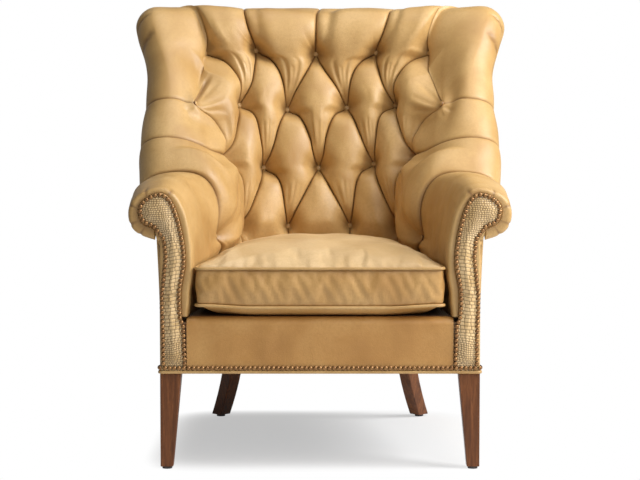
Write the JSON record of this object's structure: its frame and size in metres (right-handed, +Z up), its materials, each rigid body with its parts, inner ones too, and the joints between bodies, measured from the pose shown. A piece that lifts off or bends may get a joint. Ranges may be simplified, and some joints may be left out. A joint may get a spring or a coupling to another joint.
{
  "type": "wingback chair",
  "caption": "Leather wingback chair with a diamond-tufted barrel back, padded wings, rolled scroll arms, nail trim and a loose seat cushion.",
  "frame": {"origin": "centre of the bounding box, on the floor", "axes": "+Z up, -Y out of the chair's front, +X to the right as seen from the front"},
  "size_m": [0.942, 0.8044, 1.0704],
  "materials": {
    "leather": "smooth tan leather, satin",
    "leather_welt": "tan leather piping",
    "embossed_leather": "scale-embossed beige leather",
    "bronze_nails": "antique bronze nail heads",
    "walnut": "walnut stain, satin lacquer",
    "frame_wood": "planed hardwood",
    "spring_steel": "plain spring wire",
    "deck_canvas": "plain woven canvas",
    "dust_cloth": "black cambric",
    "glide_nylon": "moulded nylon"
  },
  "bodies": {
    "chair": {"back_rail": "frame_wood", "base_nail_strip": "bronze_nails", "crest_rail": "frame_wood", "dust_cover": "dust_cloth", "front_border": "leather", "front_rail": "frame_wood", "inside_back": "leather", "left_arm": "leather", "left_arm_front_panel": "embossed_leather", "left_arm_nail_strip": "bronze_nails", "left_arm_rail": "frame_wood", "left_back_post": "frame_wood", "left_front_corner_block": "frame_wood", "left_front_glide": "glide_nylon", "left_front_leg": "walnut", "left_front_post": "frame_wood", "left_outside_panel": "leather", "left_rear_corner_block": "frame_wood", "left_rear_glide": "glide_nylon", "left_rear_leg": "walnut", "left_side_rail": "frame_wood", "left_wing": "leather", "left_wing_rail": "frame_wood", "outside_back_panel": "leather", "right_arm": "leather", "right_arm_front_panel": "embossed_leather", "right_arm_nail_strip": "bronze_nails", "right_arm_rail": "frame_wood", "right_back_post": "frame_wood", "right_front_corner_block": "frame_wood", "right_front_glide": "glide_nylon", "right_front_leg": "walnut", "right_front_post": "frame_wood", "right_outside_panel": "leather", "right_rear_corner_block": "frame_wood", "right_rear_glide": "glide_nylon", "right_rear_leg": "walnut", "right_side_rail": "frame_wood", "right_wing": "leather", "right_wing_rail": "frame_wood", "seat_deck": "deck_canvas", "seat_spring_1": "spring_steel", "seat_spring_2": "spring_steel", "seat_spring_3": "spring_steel", "seat_spring_4": "spring_steel", "seat_spring_5": "spring_steel"},
    "cushion": {"seat_cushion": "leather", "cushion_top_welt": "leather_welt", "cushion_bottom_welt": "leather_welt"}
  },
  "joints": [
    {"name": "seat_cushion_slide", "type": "slide", "parent": "chair", "child": "cushion", "axis": [0, -1, 0], "range_m": [0, 0.25]}
  ]
}
